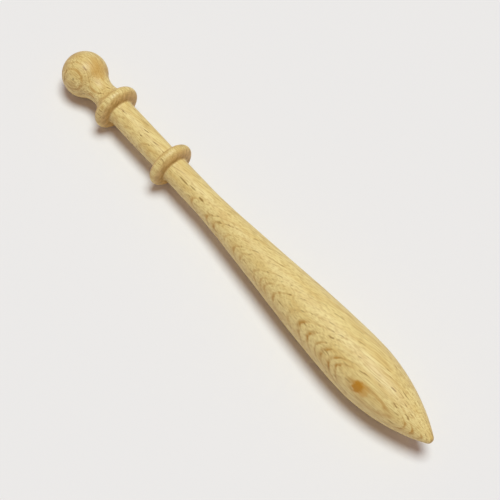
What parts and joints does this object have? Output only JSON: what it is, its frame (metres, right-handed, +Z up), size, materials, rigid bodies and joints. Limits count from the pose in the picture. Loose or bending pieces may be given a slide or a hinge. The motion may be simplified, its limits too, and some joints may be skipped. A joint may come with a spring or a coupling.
{
  "type": "lace bobbin",
  "caption": "Slim turned wooden lace bobbin with a ball head, a thread neck between rounded collars, and a long shank that swells to a belly and a blunt point.",
  "frame": {"origin": "on the axis of the turning, at the middle of the length", "axes": "+X along the bobbin's axis, from the head towards the point; +Z up when it lies on its side"},
  "size_m": [0.12, 0.0132, 0.0132],
  "materials": {
    "beech": "fine-sanded pale beech, bare or lightly waxed, satin"
  },
  "bodies": {
    "root": {"head": "beech", "hitch_neck": "beech", "upper_collar": "beech", "spool_neck": "beech", "lower_collar": "beech", "shank": "beech"}
  },
  "joints": []
}
